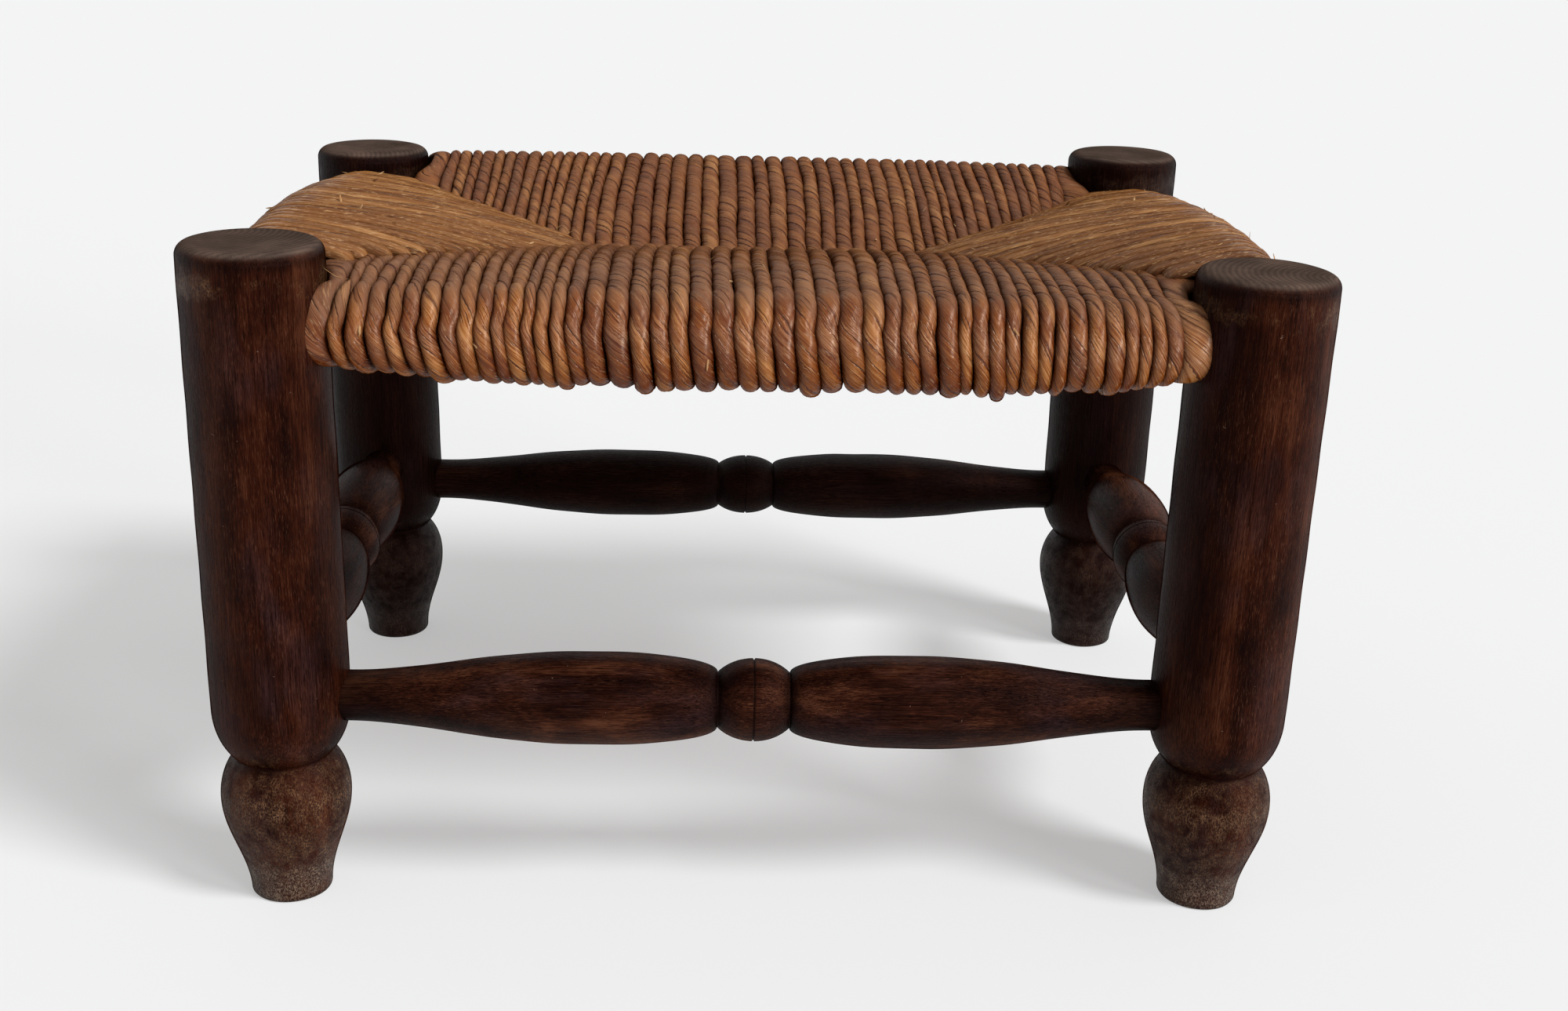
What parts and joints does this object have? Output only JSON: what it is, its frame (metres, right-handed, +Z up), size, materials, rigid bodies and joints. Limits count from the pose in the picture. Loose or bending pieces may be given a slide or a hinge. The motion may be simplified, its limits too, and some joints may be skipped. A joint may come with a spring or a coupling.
{
  "type": "footstool",
  "caption": "Low rectangular footstool with turned dark wood legs, ball-and-belly stretchers and a dished woven rush seat wound over hidden rails.",
  "frame": {"origin": "on the floor, under the middle of the four legs", "axes": "+X along the stool's length to the right seen from the front, +Y towards the back, +Z up"},
  "size_m": [0.4, 0.2974, 0.2496],
  "materials": {
    "leg_wood": "dark stained and wax polished, worn at the feet",
    "stretcher_wood": "dark stained and wax polished",
    "rail_wood": "bare turned wood",
    "woven_rush": "twisted dried rush, satin where handled",
    "rush_waste": "loose dry rush"
  },
  "bodies": {
    "root": {"leg_front_left": "leg_wood", "leg_front_right": "leg_wood", "leg_back_left": "leg_wood", "leg_back_right": "leg_wood", "stretcher_front": "stretcher_wood", "stretcher_back": "stretcher_wood", "stretcher_left": "stretcher_wood", "stretcher_right": "stretcher_wood", "seat_rail_front": "rail_wood", "seat_rail_back": "rail_wood", "seat_rail_left": "rail_wood", "seat_rail_right": "rail_wood", "rush_panel_front": "woven_rush", "rush_panel_back": "woven_rush", "rush_panel_left": "woven_rush", "rush_panel_right": "woven_rush", "rush_stuffing_front": "rush_waste", "rush_stuffing_back": "rush_waste", "rush_stuffing_left": "rush_waste", "rush_stuffing_right": "rush_waste"}
  },
  "joints": []
}
